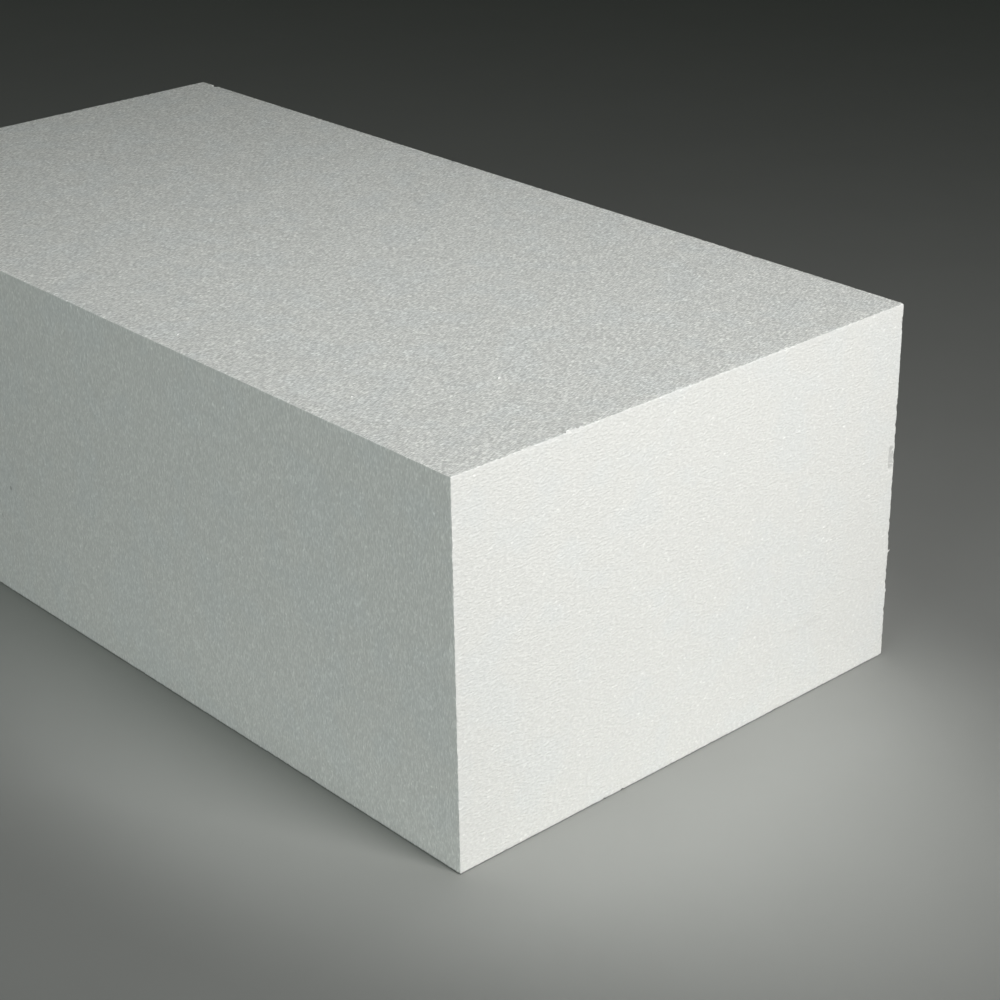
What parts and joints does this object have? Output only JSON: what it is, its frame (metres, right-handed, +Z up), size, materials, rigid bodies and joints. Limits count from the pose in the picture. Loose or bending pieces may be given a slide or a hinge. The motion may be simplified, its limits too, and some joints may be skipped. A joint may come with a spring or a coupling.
{
  "type": "foam block",
  "caption": "Rectangular block of white fine-bead polystyrene foam with flat cut faces, crisp edges and a few small knocks.",
  "frame": {"origin": "middle of the face the block rests on", "axes": "+X along the length, +Y across the width, +Z up from the resting face"},
  "size_m": [0.6, 0.3, 0.2],
  "materials": {
    "foam": "matte white, fine bead grain with small glints"
  },
  "bodies": {
    "root": {"foam_block": "foam"}
  },
  "joints": []
}
